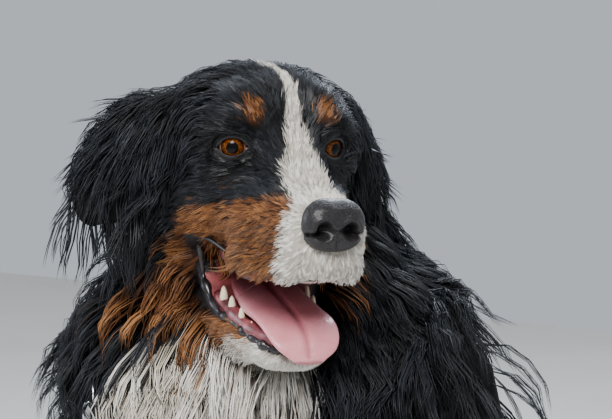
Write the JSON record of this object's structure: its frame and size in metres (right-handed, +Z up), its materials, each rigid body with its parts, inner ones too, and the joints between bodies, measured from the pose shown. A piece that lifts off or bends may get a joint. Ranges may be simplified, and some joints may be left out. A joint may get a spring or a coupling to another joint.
{
  "type": "bernese mountain dog",
  "caption": "Life-size still model of a long-coated tricolour Bernese mountain dog, sitting with its head turned to its left and mouth open, with a collar and a tag.",
  "frame": {"origin": "centre of the bounding box on the floor under the dog", "axes": "+Z up, -Y the way the dog's chest faces, +X the dog's left"},
  "size_m": [0.4888, 0.7742, 0.8704],
  "materials": {
    "coat_black": "long glossy black hair with rust and white marks",
    "coat_white": "short white hair",
    "nose_leather": "moist pebbled black skin",
    "tongue_flesh": "moist pink flesh",
    "eye_amber": "wet, clear surface over an amber-brown iris",
    "collar_black": "rolled black leather",
    "tag_steel": "bright plain steel"
  },
  "bodies": {
    "root": {"head": "coat_black", "jaw": "coat_black", "tongue": "tongue_flesh", "nose": "nose_leather", "eye_left": "eye_amber", "eye_right": "eye_amber", "ear_left": "coat_black", "ear_right": "coat_black", "neck": "coat_black", "torso": "coat_black", "rump": "coat_black", "tail_root": "coat_black", "tail_middle": "coat_black", "tail_plume": "coat_black", "foreleg_left": "coat_black", "foreleg_right": "coat_black", "forepaw_left": "coat_white", "forepaw_right": "coat_white", "hindleg_left": "coat_black", "hindleg_right": "coat_black", "hindpaw_left": "coat_white", "hindpaw_right": "coat_white", "collar": "collar_black", "tag": "tag_steel"}
  },
  "joints": []
}
